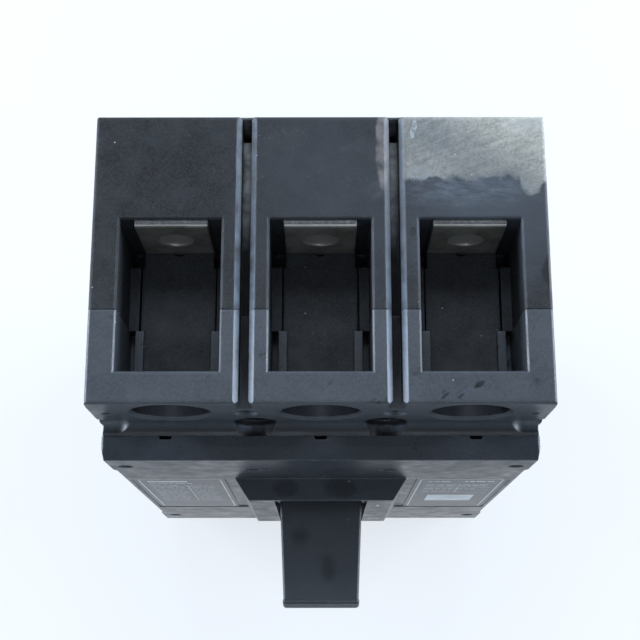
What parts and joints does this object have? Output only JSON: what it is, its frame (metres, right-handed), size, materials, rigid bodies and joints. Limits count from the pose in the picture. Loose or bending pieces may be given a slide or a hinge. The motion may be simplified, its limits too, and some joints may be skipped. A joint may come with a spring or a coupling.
{
  "type": "circuit breaker",
  "caption": "Three-pole moulded-case circuit breaker, about 400 A size, with box pockets over its bolted terminals, dished screw-access holes and a toggle handle in a raised surround.",
  "frame": {"origin": "centre of the flat mounting face at the back", "axes": "+Z towards the line end, -Y towards the front where the handle is, +Y out of the mounting face, +X to the right seen from the front"},
  "size_m": [0.15, 0.1553, 0.257],
  "materials": {
    "base_moulding": "satin",
    "cover_moulding": "satin",
    "front_moulding": "satin",
    "handle_moulding": "satin",
    "lever_steel": "satin",
    "plated_copper": "satin",
    "nut_steel": "satin",
    "screw_steel": "satin",
    "label_stock": "satin"
  },
  "bodies": {
    "breaker": {"base": "base_moulding", "mid_cover": "cover_moulding", "front_cover": "front_moulding", "pivot_pin": "screw_steel", "line_terminal_left": "plated_copper", "line_terminal_centre": "plated_copper", "line_terminal_right": "plated_copper", "load_terminal_left": "plated_copper", "load_terminal_centre": "plated_copper", "load_terminal_right": "plated_copper", "line_nut_left": "nut_steel", "line_nut_centre": "nut_steel", "line_nut_right": "nut_steel", "load_nut_left": "nut_steel", "load_nut_centre": "nut_steel", "load_nut_right": "nut_steel", "cover_screws_top": "screw_steel", "cover_screws_bottom": "screw_steel", "case_screws_line": "screw_steel", "case_screws_load": "screw_steel", "label_left": "label_stock", "label_right": "label_stock"},
    "toggle": {"handle": "handle_moulding", "handle_lever": "lever_steel"}
  },
  "joints": [
    {"name": "toggle_hinge", "type": "hinge", "parent": "breaker", "child": "toggle", "pos_m": [0, -0.06, 0.013], "axis": [1, 0, 0], "range_deg": [-12, 32]}
  ]
}
